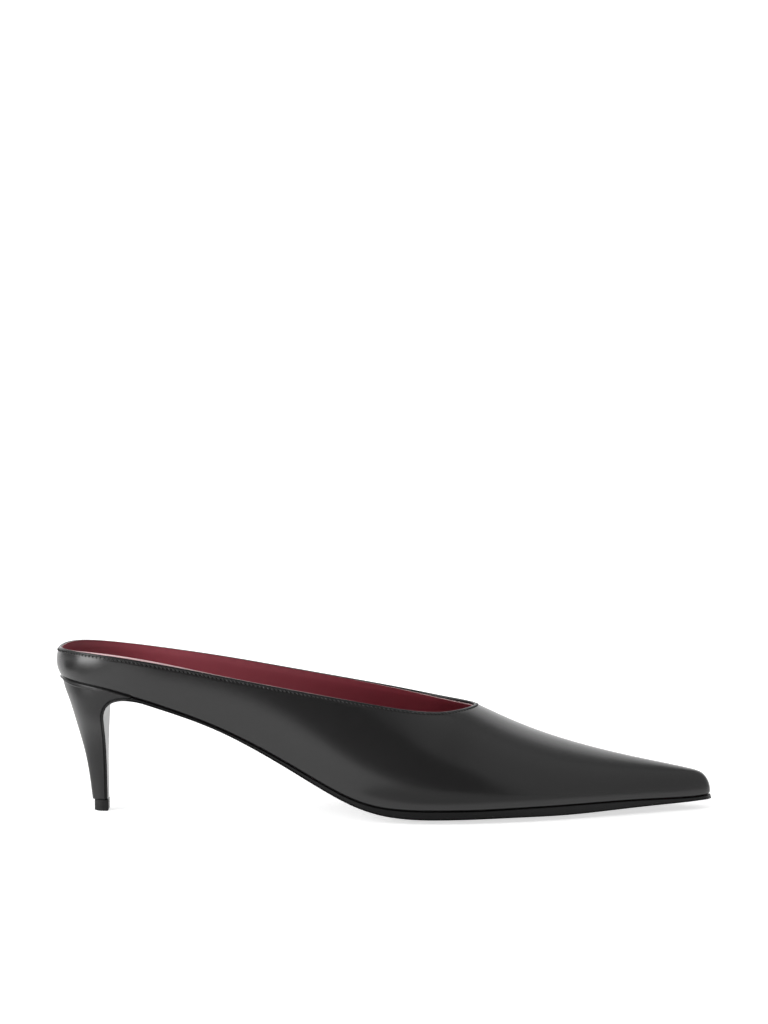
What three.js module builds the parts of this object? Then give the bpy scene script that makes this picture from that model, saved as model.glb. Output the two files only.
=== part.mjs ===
// A right-foot mule: pointed toe, low wall round the heel, slim covered heel.
// Sizes are in millimetres. Before the last line moves the shoe to its origin, x runs from the
// back of the heel to the toe, y from the outer (lateral) side to the inner (medial) side, and
// z up from the floor.
import * as THREE from "three";

const WALL = 2; // upper leather, stiffener and lining together
const GAP = 0.3; // left between pieces that meet
const INSOLE_THICKNESS = 2.5; // insole board with its sock
const FLAP_THICKNESS = 1.1; // sole leather where it runs down the front of the heel
const TIP_HEIGHT = 4.4; // the replaceable heel tip
const TIP_PROUD = 0.5; // how far the tip stands in front of the sole's flap

// Columns of numbers become smooth curves over the row number.
// A column with an even end is level there, any other end is straight.
function spline(values, evenEnds) {
  const last = values.length - 1;
  const slope = new Array(last + 1).fill(0);
  const share = new Array(last + 1).fill(0);
  const endWeight = evenEnds ? 0 : 0.5;
  share[0] = endWeight;
  slope[0] = endWeight * 3 * (values[1] - values[0]);
  for (let i = 1; i < last; i++) {
    share[i] = 1 / (4 - share[i - 1]);
    slope[i] = (3 * (values[i + 1] - values[i - 1]) - slope[i - 1]) * share[i];
  }
  const endSlope = (3 * (values[last] - values[last - 1]) - slope[last - 1]) / (2 - share[last - 1]);
  slope[last] = evenEnds ? 0 : endSlope;
  for (let i = last - 1; i >= 0; i--) slope[i] -= share[i] * slope[i + 1];

  return (row) => {
    const i = Math.min(Math.floor(row), last - 1);
    const s = row - i;
    const rise = values[i + 1] - values[i];
    const cubic = slope[i] + slope[i + 1] - 2 * rise;
    const square = 3 * rise - 2 * slope[i] - slope[i + 1];
    return values[i] + s * (slope[i] + s * (square + s * cubic));
  };
}

function table(columns, rows, evenEnds = true) {
  const curves = {};
  columns.split(" ").forEach((name, c) => {
    curves[name] = spline(rows.map((row) => row[c]), evenEnds);
  });
  return curves;
}

// The last that the upper is pulled over, one row a section from the back of the heel to the
// tip of the toe. x and swing place the section's middle, and turn is the way it faces: 0 back,
// 90 sideways, 180 forward. feather is the height of the upper's lower edge and ridge that of
// the last's top. belly is how far up the section its fullest part is drawn.
const LAST = table("x swing feather ridge belly", [
  [30.0, 0.0, 56.2, 92.0, 0.34],
  [30.8, 0.0, 55.0, 92.0, 0.34],
  [34.5, 0.0, 52.5, 91.0, 0.34],
  [46.0, 0.0, 46.1, 89.5, 0.34],
  [69.0, 0.0, 36.7, 86.5, 0.34],
  [96.0, 0.0, 23.1, 81.0, 0.34],
  [122.0, 0.0, 9.5, 71.2, 0.34],
  [142.0, 0.3, 5.5, 60.4, 0.37],
  [158.0, 0.8, 5.2, 51.0, 0.39],
  [172.5, 1.3, 5.2, 44.1, 0.42],
  [190.0, 2.2, 5.5, 36.0, 0.44],
  [210.0, 3.4, 5.6, 28.7, 0.46],
  [232.0, 4.8, 5.7, 22.7, 0.48],
  [252.0, 5.9, 5.3, 18.3, 0.5],
  [261.5, 6.3, 5.2, 16.1, 0.5],
  [263.5, 6.3, 5.6, 15.4, 0.5],
]);
const { turn: TURN } = table(
  "turn",
  [0, 32, 64, 87, 90, 90, 90, 90, 90, 90, 90, 90, 90, 92, 125, 180].map((turn) => [turn]),
  false,
);
const THROAT = 9; // the row where the topline closes over the foot
const TOE = 15; // the last row

// Each side's half section: foot is its half width at the feather, and side and shoulder pull
// its curve out on the way up to the ridge.
const LATERAL = table("foot side shoulder", [
  [27.6, 36.0, 15.0],
  [26.6, 34.0, 20.0],
  [25.2, 30.5, 26.0],
  [24.0, 29.5, 27.5],
  [23.4, 30.5, 27.0],
  [26.5, 35.0, 26.0],
  [32.0, 42.0, 23.2],
  [36.2, 45.9, 21.0],
  [37.4, 46.7, 17.9],
  [36.4, 45.0, 16.0],
  [33.2, 39.5, 15.0],
  [27.2, 32.0, 12.2],
  [19.0, 22.2, 9.0],
  [11.0, 13.0, 6.2],
  [6.4, 7.4, 4.4],
  [6.6, 7.3, 4.2],
]);
const MEDIAL = table("foot side shoulder", [
  [27.6, 36.0, 15.0],
  [26.6, 34.0, 20.0],
  [25.0, 30.5, 26.0],
  [22.5, 28.5, 27.5],
  [19.0, 27.5, 27.5],
  [19.5, 31.0, 27.0],
  [25.9, 38.4, 25.2],
  [32.0, 44.2, 22.8],
  [35.8, 46.2, 19.0],
  [36.8, 45.0, 16.5],
  [34.4, 40.5, 15.4],
  [28.0, 32.6, 12.2],
  [19.2, 22.4, 9.0],
  [11.0, 13.0, 6.2],
  [6.4, 7.4, 4.4],
  [6.6, 7.3, 4.2],
]);

// Height of the topline, from the back of the heel to the throat.
const TOPLINE = table(
  "lateral medial",
  [
    [68.0, 68.0],
    [68.1, 68.7],
    [66.9, 66.9],
    [63.6, 64.1],
    [58.9, 60.7],
    [53.9, 55.9],
    [49.2, 51.2],
    [45.5, 47.75],
    [43.4, 45.4],
    [44.1, 44.1],
  ],
  false,
);

// The sole's edge, from the back of the heel to the toe, and how far its middle hangs below it.
const SOLE = table("edge crown", [
  [1.0, 0.0],
  [1.0, 0.0],
  [1.0, 0.2],
  [1.0, 0.5],
  [0.9, 0.9],
  [1.6, 1.3],
  [2.1, 1.7],
  [2.9, 2.3],
  [3.1, 2.5],
  [3.0, 2.5],
  [3.2, 2.5],
  [3.4, 2.2],
  [2.8, 1.7],
  [1.8, 0.9],
  [1.3, 0.4],
  [1.5, 0.0],
]);

// A point of the last: row along the shoe, side -1 lateral or 1 medial, climb from 0 at the
// feather to 1 at the ridge. inset moves it inwards, for the inside of the wall.
function lastPoint(row, side, climb, inset = 0) {
  const half = side < 0 ? LATERAL : MEDIAL;
  const feather = LAST.feather(row);
  const ridge = LAST.ridge(row);
  const belly = feather + LAST.belly(row) * (ridge - feather);
  const outline = new THREE.CubicBezierCurve(
    new THREE.Vector2(half.foot(row) - inset, feather),
    new THREE.Vector2(half.side(row) - inset, belly),
    new THREE.Vector2(half.shoulder(row) - inset, ridge - inset),
    new THREE.Vector2(0, ridge - inset),
  );
  const { x: reach, y: height } = outline.getPoint(climb);
  const angle = THREE.MathUtils.degToRad(TURN(row));
  const x = LAST.x(row) - reach * Math.cos(angle);
  const y = LAST.swing(row) + side * reach * Math.sin(angle);
  return new THREE.Vector3(x, y, height);
}

// How far up its section the upper goes: to the topline behind the throat, all the way past it.
function toplineClimb(row, side) {
  if (row >= THROAT) return 1;
  const height = side < 0 ? TOPLINE.lateral(row) : TOPLINE.medial(row);
  let low = 0;
  let high = 1;
  for (let i = 0; i < 30; i++) {
    const middle = (low + high) / 2;
    if (lastPoint(row, side, middle).z < height) low = middle;
    else high = middle;
  }
  return low;
}

// Gathers quads into one closed mesh, where points at the same place are one vertex.
class Skin {
  constructor() {
    this.numbers = new Map();
    this.positions = [];
    this.faces = [];
  }

  vertex(point) {
    const key = point.toArray().map((v) => Math.round(v * 500)).join();
    if (!this.numbers.has(key)) {
      this.numbers.set(key, this.numbers.size);
      this.positions.push(...point);
    }
    return this.numbers.get(key);
  }

  quad(a, b, c, d) {
    const [i, j, k, l] = [a, b, c, d].map((point) => this.vertex(point));
    for (const face of [[i, j, k], [i, k, l]]) {
      if (new Set(face).size === 3) this.faces.push(...face);
    }
  }

  // The strips between two rows of points, seen from outside with the second row to the right.
  strip(first, second) {
    for (let i = 0; i + 1 < first.length; i++) {
      this.quad(first[i], second[i], second[i + 1], first[i + 1]);
    }
  }

  geometry() {
    const geometry = new THREE.BufferGeometry();
    geometry.setAttribute("position", new THREE.Float32BufferAttribute(this.positions, 3));
    geometry.setIndex(this.faces);
    geometry.computeVertexNormals();
    return geometry;
  }
}

const steps = (count) => Array.from({ length: count + 1 }, (_, i) => i / count);
const between = (a, b, s) => a.clone().lerp(b, s);

// Rows at which the shoe is cut into sections, close together where the throat turns.
const ROWS_PER_SECTION = 4;
const ROWS_AT_THROAT = 6;
const ROWS = [
  ...steps((THROAT - 1) * ROWS_PER_SECTION).map((s) => s * (THROAT - 1)),
  ...steps(ROWS_AT_THROAT).slice(1).map((s) => THROAT - (1 - s) ** 2),
  ...steps((TOE - THROAT) * ROWS_PER_SECTION).slice(1).map((s) => THROAT + s * (TOE - THROAT)),
];

// The row whose lower edge is at x.
function rowAt(x) {
  let low = 0;
  let high = TOE;
  for (let i = 0; i < 30; i++) {
    const middle = (low + high) / 2;
    if (lastPoint(middle, -1, 0).x < x) low = middle;
    else high = middle;
  }
  return low;
}

// The hollow upper: up the lateral side to the toe and back along the medial side.
function upperGeometry() {
  const CLIMB_STEPS = 8;
  const lateral = ROWS.map((row) => ({ row, side: -1 }));
  const medial = ROWS.slice(1, -1).reverse().map((row) => ({ row, side: 1 }));
  const columns = [...lateral, ...medial].map(({ row, side }) => {
    const top = toplineClimb(row, side);
    const even = Math.min(1, 1.3 * top); // only the last steps turn in to the throat
    const climbs = steps(CLIMB_STEPS).map((s) => even * s + (top - even) * s ** 3);
    const outside = climbs.map((climb) => lastPoint(row, side, climb));
    const inside = climbs.map((climb) => lastPoint(row, side, climb, WALL));
    return { row, outside, inside };
  });
  const skin = new Skin();
  columns.forEach((column, i) => {
    const next = columns[(i + 1) % columns.length];
    skin.strip(column.outside, next.outside);
    skin.strip(next.inside, column.inside);
    skin.quad(column.outside[0], column.inside[0], next.inside[0], next.outside[0]);
    if (column.row < THROAT || next.row < THROAT) {
      const end = CLIMB_STEPS;
      skin.quad(column.outside[end], next.outside[end], next.inside[end], column.inside[end]);
    }
  });
  return skin.geometry();
}

// A plate made of cuts across it, each a row of points on top and a row below.
function plateGeometry(cuts) {
  const skin = new Skin();
  for (let i = 0; i + 1 < cuts.length; i++) {
    const [here, next] = [cuts[i], cuts[i + 1]];
    const end = here.top.length - 1;
    skin.strip(here.top, next.top);
    skin.strip(next.bottom, here.bottom);
    skin.quad(here.bottom[0], next.bottom[0], next.top[0], here.top[0]);
    skin.quad(next.bottom[end], here.bottom[end], here.top[end], next.top[end]);
  }
  const [first, last] = [cuts[0], cuts[cuts.length - 1]];
  skin.strip(first.bottom, first.top);
  skin.strip(last.top, last.bottom);
  return skin.geometry();
}

const ACROSS = steps(8);

// The insole lies on the sole and the heel, just inside the upper's lower edge.
function insoleGeometry() {
  const up = new THREE.Vector3(0, 0, INSOLE_THICKNESS);
  const cuts = ROWS.map((row) => {
    const lateral = lastPoint(row, -1, 0, WALL + GAP);
    const medial = lastPoint(row, 1, 0, WALL + GAP);
    const bottom = ACROSS.map((s) => between(lateral, medial, s));
    return { bottom, top: bottom.map((point) => point.clone().add(up)) };
  });
  return plateGeometry(cuts);
}

// The line along which the sole leaves the waist and turns down the front of the heel, from the
// waist to the top of the tip. It lies on the sole's upper face, and y here is the height.
const WAIST_END = 38;
const WAIST_HEIGHT = LAST.feather(rowAt(WAIST_END)) - GAP;
const BREAST_X = 19.8;
const BREAST_FOOT = new THREE.Vector2(BREAST_X + 0.5, TIP_HEIGHT + GAP);
const BREAST_TOP = new THREE.Vector2(BREAST_X, 40);
const BEND = new THREE.CubicBezierCurve(
  new THREE.Vector2(WAIST_END, WAIST_HEIGHT),
  new THREE.Vector2(WAIST_END - 6.5, WAIST_HEIGHT + 2),
  new THREE.Vector2(BREAST_X + 0.2, BREAST_TOP.y + 11),
  BREAST_TOP,
);

// A place on that line: 0 to 1 along the bend, and 1 to 2 down the heel.
function breast(along) {
  const bent = along < 1;
  const place = bent ? BEND.getPoint(along) : BREAST_TOP.clone().lerp(BREAST_FOOT, along - 1);
  const way = bent ? BEND.getTangent(along) : BREAST_FOOT.clone().sub(BREAST_TOP).normalize();
  return { x: place.x, z: place.y, front: new THREE.Vector3(-way.y, 0, way.x) };
}

// The heel, one row a level from the seat down to the tip. breast is the place of its front on
// the line above, x and z are those of its back, and width is its half width.
const HEEL = table(
  "breast x z width",
  [
    [0.3, 2.9, 55.2, 23.4],
    [0.55, 4.0, 50.8, 21.8],
    [0.8, 5.6, 46.5, 20.0],
    [1.0, 7.3, 41.0, 17.3],
    [1.17, 9.1, 34.5, 12.2],
    [1.35, 10.75, 28.5, 7.7],
    [1.55, 12.4, 21.5, 5.0],
    [1.78, 13.8, 12.9, 4.1],
    [2.0, 14.8, 4.7, 4.0],
  ],
  false,
);
const HEEL_LEVELS = 8;
const LIP = rowAt(32.6); // the seat's front edge

const HALF_WIDTHS = steps(HEEL_LEVELS * 3).map((s) => {
  const level = s * HEEL_LEVELS;
  return { along: HEEL.breast(level), width: HEEL.width(level) };
});

// Half width of the heel's front at a place on the breast line.
function breastWidth(along) {
  const next = HALF_WIDTHS.findIndex((entry) => entry.along >= along);
  if (next < 1) return HALF_WIDTHS[0].width;
  const [above, below] = [HALF_WIDTHS[next - 1], HALF_WIDTHS[next]];
  const share = (along - above.along) / (below.along - above.along);
  return THREE.MathUtils.lerp(above.width, below.width, share);
}

// The sole: up the front of the heel from its foot, then along the waist and the tread.
function outsoleGeometry() {
  const FLAP_STEPS = 16;
  const flap = steps(FLAP_STEPS).slice(0, -1).map((s) => {
    const along = 2 * (1 - s) ** 1.3;
    const { x, z, front } = breast(along);
    const width = breastWidth(along);
    const top = ACROSS.map((across) => new THREE.Vector3(x, (2 * across - 1) * width, z));
    const lift = front.clone().multiplyScalar(FLAP_THICKNESS);
    return { top, bottom: top.map((point) => point.clone().add(lift)) };
  });
  const waistRow = rowAt(WAIST_END);
  const tread = [waistRow, ...ROWS.filter((row) => row > waistRow + 0.1)].map((row) => {
    const lateral = lastPoint(row, -1, 0);
    const medial = lastPoint(row, 1, 0);
    const top = ACROSS.map((s) => between(lateral, medial, s).setZ(lateral.z - GAP));
    const bottom = top.map((point, i) => {
      const middle = 4 * ACROSS[i] * (1 - ACROSS[i]);
      const height = point.z - SOLE.edge(row) - SOLE.crown(row) * middle;
      return point.clone().setZ(Math.max(height, 0));
    });
    return { top, bottom };
  });
  return plateGeometry([...flap, ...tread]);
}

// The heel: the outline of its seat, scaled down level by level to the tip.
function heelGeometry() {
  const rows = [...ROWS.filter((row) => row < LIP - 0.1), LIP];
  const seatPoint = (row, side) => lastPoint(row, side, 0).sub(new THREE.Vector3(0, 0, GAP));
  const lateral = rows.map((row) => seatPoint(row, -1));
  const medial = rows.slice(1).reverse().map((row) => seatPoint(row, 1));
  const seat = [...lateral, ...medial];
  const [back, lip] = [lateral[0], lateral[lateral.length - 1]];
  const shares = seat.map((point) => (point.x - back.x) / (lip.x - back.x));
  const bows = seat.map((point, i) => point.z - THREE.MathUtils.lerp(back.z, lip.z, shares[i]));

  const levels = steps(HEEL_LEVELS * 2).map((s) => {
    const level = s * HEEL_LEVELS;
    const { x, z, front } = breast(HEEL.breast(level));
    const toe = new THREE.Vector3(x, 0, z).addScaledVector(front, -GAP);
    const spread = HEEL.width(level) / Math.abs(lip.y);
    return seat.map((point, i) => {
      const onLine = new THREE.Vector3(HEEL.x(level), 0, HEEL.z(level)).lerp(toe, shares[i]);
      return onLine.setY(point.y * spread).setZ(onLine.z + bows[i] * spread ** 2);
    });
  });
  const rings = [seat, ...levels];

  const skin = new Skin();
  for (let i = 0; i + 1 < rings.length; i++) {
    const [upper, lower] = [rings[i], rings[i + 1]].map((ring) => [...ring, ring[0]]);
    skin.strip(upper, lower);
  }
  const [start, ...others] = rings[rings.length - 1];
  capAcross(skin, seat);
  capAcross(skin, [start, ...others.reverse()]);
  return skin.geometry();
}

// Closes a ring by lines from its one side to the other. It faces up where the ring runs
// from the back along the lateral side.
function capAcross(skin, ring) {
  for (let i = 0; i < ring.length / 2; i++) {
    const [a, b] = [ring[i], ring[i + 1]];
    const [c, d] = [ring.at(-i - 1), ring.at(-i)];
    skin.quad(a, b, c, d);
  }
}

// The tip: a flat-bottomed block with a straight front and a round back, under heel and flap.
function heelTipGeometry() {
  const front = BREAST_FOOT.x + FLAP_THICKNESS + TIP_PROUD;
  const backX = 15.6;
  const halfWidth = HEEL.width(HEEL_LEVELS);
  const outline = new THREE.Shape();
  outline.moveTo(front, -halfWidth);
  outline.lineTo(front, halfWidth);
  outline.lineTo(backX + halfWidth, halfWidth);
  outline.absarc(backX + halfWidth, 0, halfWidth, Math.PI / 2, (3 * Math.PI) / 2);
  outline.closePath();
  return new THREE.ExtrudeGeometry(outline, {
    depth: TIP_HEIGHT,
    bevelEnabled: false,
    curveSegments: 12,
  });
}

const leather = { roughness: 0.35, metalness: 0 };
const BLACK_LEATHER = new THREE.MeshStandardMaterial({ color: 0x19191b, ...leather });
const BURGUNDY_LINING = new THREE.MeshStandardMaterial({ color: 0x5a1f2b, ...leather });
const SOLE_LEATHER = new THREE.MeshStandardMaterial({ color: 0x141416, ...leather });
const HEEL_COVER = new THREE.MeshStandardMaterial({ color: 0x202022, ...leather });
const TIP_PLASTIC = new THREE.MeshStandardMaterial({ color: 0x121213, roughness: 0.6 });

const shoe = new THREE.Group();

function addPiece(name, geometry, material) {
  const piece = new THREE.Mesh(geometry, material);
  piece.name = name;
  shoe.add(piece);
}

addPiece("outsole", outsoleGeometry(), SOLE_LEATHER);
addPiece("insole", insoleGeometry(), BURGUNDY_LINING);
addPiece("upper", upperGeometry(), BLACK_LEATHER);
addPiece("heel", heelGeometry(), HEEL_COVER);
addPiece("heel_tip", heelTipGeometry(), TIP_PLASTIC);

// The origin is on the floor, under the middle of the shoe's box.
const box = new THREE.Box3().setFromObject(shoe);
const middle = box.getCenter(new THREE.Vector3());
shoe.position.set(-middle.x, -middle.y, -box.min.z);

export default shoe;
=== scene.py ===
import bpy
import numpy as np
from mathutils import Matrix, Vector


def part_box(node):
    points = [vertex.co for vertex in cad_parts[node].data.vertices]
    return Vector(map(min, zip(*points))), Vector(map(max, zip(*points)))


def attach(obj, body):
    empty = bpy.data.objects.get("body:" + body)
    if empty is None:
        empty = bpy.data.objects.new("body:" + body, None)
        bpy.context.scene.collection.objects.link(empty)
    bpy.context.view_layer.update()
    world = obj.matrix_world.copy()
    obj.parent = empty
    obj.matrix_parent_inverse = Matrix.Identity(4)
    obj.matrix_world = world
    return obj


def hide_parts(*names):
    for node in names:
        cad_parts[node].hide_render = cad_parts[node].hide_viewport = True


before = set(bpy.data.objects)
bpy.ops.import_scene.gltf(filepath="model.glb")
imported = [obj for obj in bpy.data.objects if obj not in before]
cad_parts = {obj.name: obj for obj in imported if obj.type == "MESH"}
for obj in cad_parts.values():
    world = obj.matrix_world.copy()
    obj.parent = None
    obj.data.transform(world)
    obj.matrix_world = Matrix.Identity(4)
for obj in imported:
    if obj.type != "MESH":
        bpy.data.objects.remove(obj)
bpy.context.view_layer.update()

# ---- The last ---------------------------------------------------------------------------
# The form that the shoe is made on: the upper, its lining, the insole and the sole all take
# their shape from it. It is drawn in millimetres, with x from the back of the heel to the
# toe, y from the outer (lateral) side to the inner (medial) side, and z up from the floor.


def smooth_curve(values, even_ends):
    """A curve through one value a row: cubic pieces that share slope and curvature where
    they meet. The ends are level where even_ends is true, and straight where it isn't."""
    values = np.asarray(values, float)
    last = len(values) - 1
    weights = 4 * np.eye(last + 1) + np.eye(last + 1, k=1) + np.eye(last + 1, k=-1)
    pulls = np.zeros(last + 1)
    pulls[1:-1] = 3 * (values[2:] - values[:-2])
    weights[0, :2] = (1, 0) if even_ends else (2, 1)
    weights[-1, -2:] = (0, 1) if even_ends else (1, 2)
    if not even_ends:
        pulls[0] = 3 * (values[1] - values[0])
        pulls[-1] = 3 * (values[-1] - values[-2])
    slopes = np.linalg.solve(weights, pulls)

    def at(row):
        """The cubic piece that row falls in, worked out at row."""
        piece = np.clip(np.floor(row).astype(int), 0, last - 1)
        s = row - piece
        rise = values[piece + 1] - values[piece]
        cubic = slopes[piece] + slopes[piece + 1] - 2 * rise
        square = 3 * rise - 2 * slopes[piece] - slopes[piece + 1]
        return values[piece] + s * (slopes[piece] + s * (square + s * cubic))

    return at


def table(columns, rows, even_ends=True):
    """One smooth curve over the row number for each named column."""
    return {name: smooth_curve(v, even_ends) for name, v in zip(columns.split(), zip(*rows))}


# One row a section, from the back of the heel to the tip of the toe. x and swing place its
# middle, feather is the height of its lower edge and ridge that of its top, and belly is how
# far up its fullest part is drawn.
LAST = table("x swing feather ridge belly", [
    (30.0, 0.0, 56.2, 92.0, 0.34),
    (30.8, 0.0, 55.0, 92.0, 0.34),
    (34.5, 0.0, 52.5, 91.0, 0.34),
    (46.0, 0.0, 46.1, 89.5, 0.34),
    (69.0, 0.0, 36.7, 86.5, 0.34),
    (96.0, 0.0, 23.1, 81.0, 0.34),
    (122.0, 0.0, 9.5, 71.2, 0.34),
    (142.0, 0.3, 5.5, 60.4, 0.37),
    (158.0, 0.8, 5.2, 51.0, 0.39),
    (172.5, 1.3, 5.2, 44.1, 0.42),
    (190.0, 2.2, 5.5, 36.0, 0.44),
    (210.0, 3.4, 5.6, 28.7, 0.46),
    (232.0, 4.8, 5.7, 22.7, 0.48),
    (252.0, 5.9, 5.3, 18.3, 0.5),
    (261.5, 6.3, 5.2, 16.1, 0.5),
    (263.5, 6.3, 5.6, 15.4, 0.5),
])
# The way a section faces: 0 back, 90 sideways, 180 forward.
TURNS = [0, 32, 64, 87, 90, 90, 90, 90, 90, 90, 90, 90, 90, 92, 125, 180]
TURN = smooth_curve(TURNS, even_ends=False)
# Each side's half section: foot is its half width at the lower edge, and side and shoulder
# pull its curve out on the way up to the ridge.
LATERAL = table("foot side shoulder", [
    (27.6, 36.0, 15.0),
    (26.6, 34.0, 20.0),
    (25.2, 30.5, 26.0),
    (24.0, 29.5, 27.5),
    (23.4, 30.5, 27.0),
    (26.5, 35.0, 26.0),
    (32.0, 42.0, 23.2),
    (36.2, 45.9, 21.0),
    (37.4, 46.7, 17.9),
    (36.4, 45.0, 16.0),
    (33.2, 39.5, 15.0),
    (27.2, 32.0, 12.2),
    (19.0, 22.2, 9.0),
    (11.0, 13.0, 6.2),
    (6.4, 7.4, 4.4),
    (6.6, 7.3, 4.2),
])
MEDIAL = table("foot side shoulder", [
    (27.6, 36.0, 15.0),
    (26.6, 34.0, 20.0),
    (25.0, 30.5, 26.0),
    (22.5, 28.5, 27.5),
    (19.0, 27.5, 27.5),
    (19.5, 31.0, 27.0),
    (25.9, 38.4, 25.2),
    (32.0, 44.2, 22.8),
    (35.8, 46.2, 19.0),
    (36.8, 45.0, 16.5),
    (34.4, 40.5, 15.4),
    (28.0, 32.6, 12.2),
    (19.2, 22.4, 9.0),
    (11.0, 13.0, 6.2),
    (6.4, 7.4, 4.4),
    (6.6, 7.3, 4.2),
])
TOE = 15.0


def last_point(row, side, climb, inset=0.0):
    """A point of the last. Its half section is a cubic curve drawn by four points, of which
    the first is at the foot and the last at the ridge, and climb runs along it from 0 to 1.
    The section is turned about its middle, and inset moves the point into the shoe."""
    row, side, climb, inset = np.broadcast_arrays(row, side, climb, inset)
    foot, pull, shoulder = (
        np.where(side < 0, LATERAL[c](row), MEDIAL[c](row)) - inset
        for c in ("foot", "side", "shoulder")
    )
    feather, ridge = LAST["feather"](row), LAST["ridge"](row)
    fullest = feather + LAST["belly"](row) * (ridge - feather)
    rest = 1 - climb
    a, b, c, d = rest**3, 3 * rest**2 * climb, 3 * rest * climb**2, climb**3
    reach = a * foot + b * pull + c * shoulder
    height = a * feather + b * fullest + (c + d) * (ridge - inset)
    turn = np.radians(TURN(row))
    x = LAST["x"](row) - reach * np.cos(turn)
    y = LAST["swing"](row) + side * reach * np.sin(turn)
    return np.stack([x, y, height], -1)


# Height of the topline, from the back of the heel to the throat, where it closes.
TOPLINE = table(
    "lateral medial",
    [
        (68.0, 68.0),
        (68.1, 68.7),
        (66.9, 66.9),
        (63.6, 64.1),
        (58.9, 60.7),
        (53.9, 55.9),
        (49.2, 51.2),
        (45.5, 47.75),
        (43.4, 45.4),
        (44.1, 44.1),
    ],
    even_ends=False,
)
THROAT = 9.0


def halved(low, high, too_low):
    """The place between low and high where too_low turns false, found by halving."""
    for _ in range(40):
        middle = (low + high) / 2
        below = too_low(middle)
        low, high = np.where(below, middle, low), np.where(below, high, middle)
    return low


def topline_climb(row, side, drop=0.0):
    """How far up its section a wall reaches that ends drop below the topline. It is 1 where
    the ridge of the last is lower than that."""
    row, side, drop = np.broadcast_arrays(row, side, drop)
    behind = np.minimum(row, THROAT)
    height = np.where(side < 0, TOPLINE["lateral"](behind), TOPLINE["medial"](behind)) - drop
    full = LAST["ridge"](row) <= height + 1e-6
    part = halved(np.zeros(row.shape), np.ones(row.shape),
                  lambda climb: last_point(row, side, climb)[..., 2] < height)
    return np.where(full, 1.0, part)


# ---- Lining -----------------------------------------------------------------------------
# Burgundy kid leather, 0.8 mm thick, glued inside the upper. Its cut edge is skived thinner and
# left raw, so it shows as a paler pink line just inside the folded edge of the upper.
LEATHER = 1.05  # thickness of the black leather
LINING_FACE = 1.9  # how far inside the last's surface the lining's face lies
LINING_BACK = LEATHER + 0.05
BURGUNDY = (0.32, 0.058, 0.078)
BURGUNDY_DEEP = (0.26, 0.043, 0.060)
CUT_EDGE_PINK = (0.78, 0.56, 0.56)
# How far its cut edge lies below the topline on each side, from the heel to the throat. Below
# nought it stands above it. The skive is how much thinner the medial side's edge is.
LINING_DROP = table("lateral medial skive", [
    (0.12, 0.12, 0.40),
    (-0.05, -0.05, 0.65),
    (-0.75, -0.12, 0.77),
    (-0.80, -0.12, 0.77),
    (-0.36, -0.12, 0.77),
    (-0.32, -0.12, 0.77),
    (-0.32, -0.08, 0.72),
    (-0.30, 0.10, 0.58),
    (-0.22, 0.35, 0.45),
    (0.5, 0.5, 0.40),
])
EDGE_SKIVE = 0.4  # how much thinner the lateral side's edge is
SKIVE_DEPTH = 1.3  # over how much of its height it is skived
FACE_CUTS = 30  # steps up the lining's face, closer together towards its edge
BACK_EVERY = 3  # its back has one of them in so many

MM = 0.001
TIP_FRONT = 21.9  # x of the heel tip's front, which ties the last's millimetres to the frame
tip_low, tip_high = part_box("heel_tip")
LAST_ORIGIN = np.array([tip_high.x - TIP_FRONT * MM, (tip_low.y + tip_high.y) / 2, 0.0])


def add_piece(name, points, faces, materials, face_materials=None):
    """Makes a closed mesh of four-sided faces. Points at the same place become one, faces
    pinched to a line go, and all are turned over together where they enclose less than
    nothing, so that they face outwards."""
    points = points.reshape(-1, 3) * MM + LAST_ORIGIN
    keys = np.round(points * 1e7).astype(np.int64)
    _, first, merged = np.unique(keys, axis=0, return_index=True, return_inverse=True)
    points = points[first]
    faces = merged.reshape(-1)[faces.reshape(-1, 4)]
    kinds = np.zeros(len(faces), int) if face_materials is None else face_materials
    same = faces == np.roll(faces, -1, axis=1)
    whole, pinched = ~same.any(1), same.sum(1) == 1
    quads = faces[whole]
    triangles = faces[pinched][~same[pinched]].reshape(-1, 3)
    halves = np.concatenate([triangles, quads[:, [0, 1, 2]], quads[:, [0, 2, 3]]])
    a, b, c = (points[halves[:, i]] for i in range(3))
    if np.einsum("ij,ij->", a, np.cross(b, c)) < 0:
        quads, triangles = quads[:, ::-1], triangles[:, ::-1]
    mesh = bpy.data.meshes.new(name)
    mesh.from_pydata(points.tolist(), [], quads.tolist() + triangles.tolist())
    for material in materials:
        mesh.materials.append(material)
    order = np.concatenate([kinds[whole], kinds[pinched]])
    mesh.polygons.foreach_set("material_index", order.astype(np.int32))
    mesh.polygons.foreach_set("use_smooth", np.ones(len(order), bool))
    mesh.update()
    piece = bpy.data.objects.new(name, mesh)
    bpy.context.scene.collection.objects.link(piece)
    return piece


def steps(count):
    """Even steps from 0 to 1."""
    return np.linspace(0, 1, count + 1)


def wall_columns(throat):
    """The rows and sides at which a wall is cut: up the lateral side to the toe and back
    along the medial side, with rows close together on both sides of the throat."""
    spread = 1.0  # rows behind and in front of the throat that close up
    even = 24  # cuts a row elsewhere
    close = steps(32)[1:]
    behind = np.linspace(0, throat - spread, int(even * (throat - spread)) + 1)
    closing = throat - spread * (1 - close) ** 2
    opening = throat + spread * close**2
    ahead = np.linspace(throat + spread, TOE, int(even * (TOE - throat - spread)) + 1)[1:]
    rows = np.concatenate([behind, closing, opening, ahead])
    sides = np.concatenate([-np.ones(len(rows)), np.ones(len(rows) - 2)])
    return np.concatenate([rows, rows[-2:0:-1]]), sides


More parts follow.
